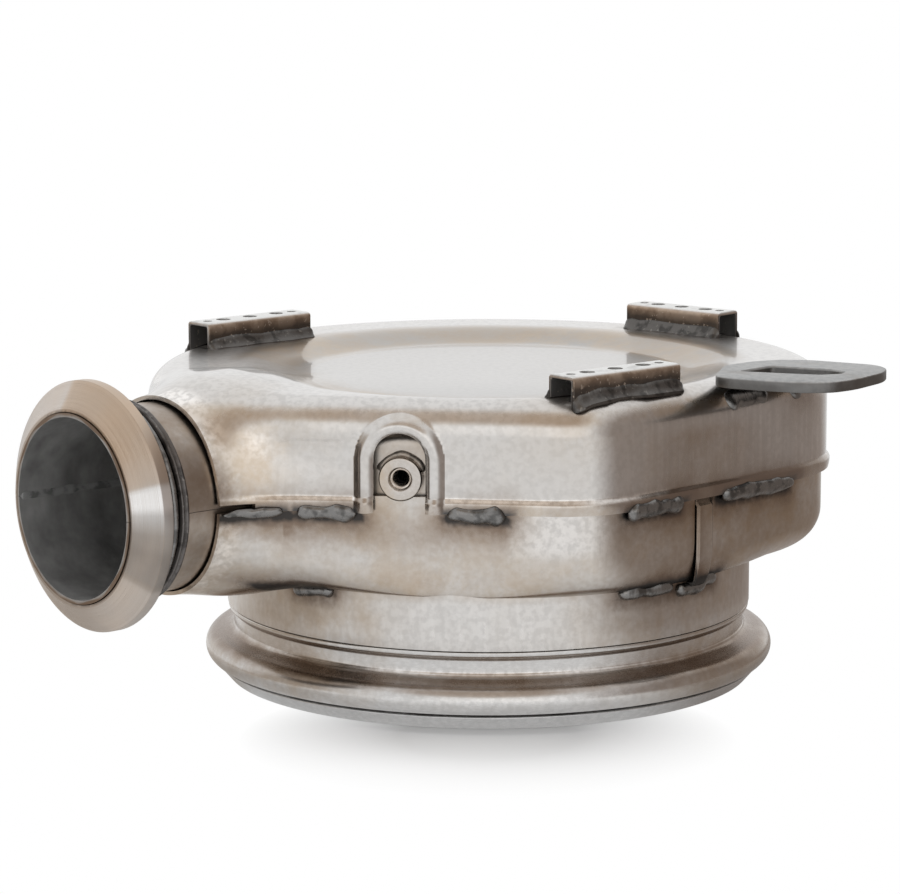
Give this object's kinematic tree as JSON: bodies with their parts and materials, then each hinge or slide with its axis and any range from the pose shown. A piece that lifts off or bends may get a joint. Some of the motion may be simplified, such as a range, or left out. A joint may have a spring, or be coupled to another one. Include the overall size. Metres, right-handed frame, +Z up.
{
  "type": "diesel oxidation catalyst",
  "caption": "Stainless exhaust catalyst: a pressed double-skin inlet housing with a flanged side pipe on a short round can with a beaded outlet.",
  "frame": {"origin": "centre of the bounding box at the foot of the outlet skirt, where the part stands", "axes": "+Z up along the can's axis, away from the outlet; +X to the picture's right along the longest side, away from the inlet pipe; +Y away from the picture's camera"},
  "size_m": [0.472, 0.3862, 0.1905],
  "materials": {
    "cover_steel": "satin, heat tinted",
    "lower_front_steel": "satin, heat tinted",
    "lower_rear_steel": "satin, heat tinted",
    "inner_upper_steel": "dull, heat tinted",
    "inner_lower_steel": "dull, heat tinted",
    "sleeve_steel": "fine vertical grain",
    "mantle_steel": "dull",
    "outlet_steel": "satin",
    "end_ring_steel": "dull",
    "brick_ceramic": "matte, porous",
    "mat_fibre": "matte fibre",
    "wool_fibre": "matte fibre",
    "flange_steel": "machined",
    "collar_steel": "dark, welded",
    "boss_steel": "machined",
    "lug_steel": "hot rolled",
    "bracket_steel": "heat tinted brown",
    "weld_metal": "rough weld bead"
  },
  "bodies": {
    "root": {"bracket_front": "bracket_steel", "bracket_left": "bracket_steel", "bracket_rear": "bracket_steel", "bracket_weld_far_front": "weld_metal", "bracket_weld_far_left": "weld_metal", "bracket_weld_far_rear": "weld_metal", "bracket_weld_near_front": "weld_metal", "bracket_weld_near_left": "weld_metal", "bracket_weld_near_rear": "weld_metal", "can_insulation": "wool_fibre", "can_sleeve": "sleeve_steel", "can_weld_1": "weld_metal", "can_weld_2": "weld_metal", "can_weld_3": "weld_metal", "can_weld_4": "weld_metal", "can_weld_5": "weld_metal", "catalyst_brick": "brick_ceramic", "end_ring": "end_ring_steel", "flange_weld": "weld_metal", "inlet_flange": "flange_steel", "inner_skin_lower": "inner_lower_steel", "inner_skin_upper": "inner_upper_steel", "insulation_pad": "wool_fibre", "lug_plate": "lug_steel", "lug_weld_left": "weld_metal", "lug_weld_right": "weld_metal", "mantle": "mantle_steel", "outer_cover": "cover_steel", "outer_lower_front": "lower_front_steel", "outer_lower_rear": "lower_rear_steel", "outlet_ring": "outlet_steel", "pipe_collar": "collar_steel", "seam_weld_1": "weld_metal", "seam_weld_2": "weld_metal", "seam_weld_3": "weld_metal", "seam_weld_4": "weld_metal", "seam_weld_5": "weld_metal", "seam_weld_6": "weld_metal", "seam_weld_7": "weld_metal", "seam_weld_8": "weld_metal", "sensor_boss": "boss_steel", "support_mat": "mat_fibre"}
  },
  "joints": []
}
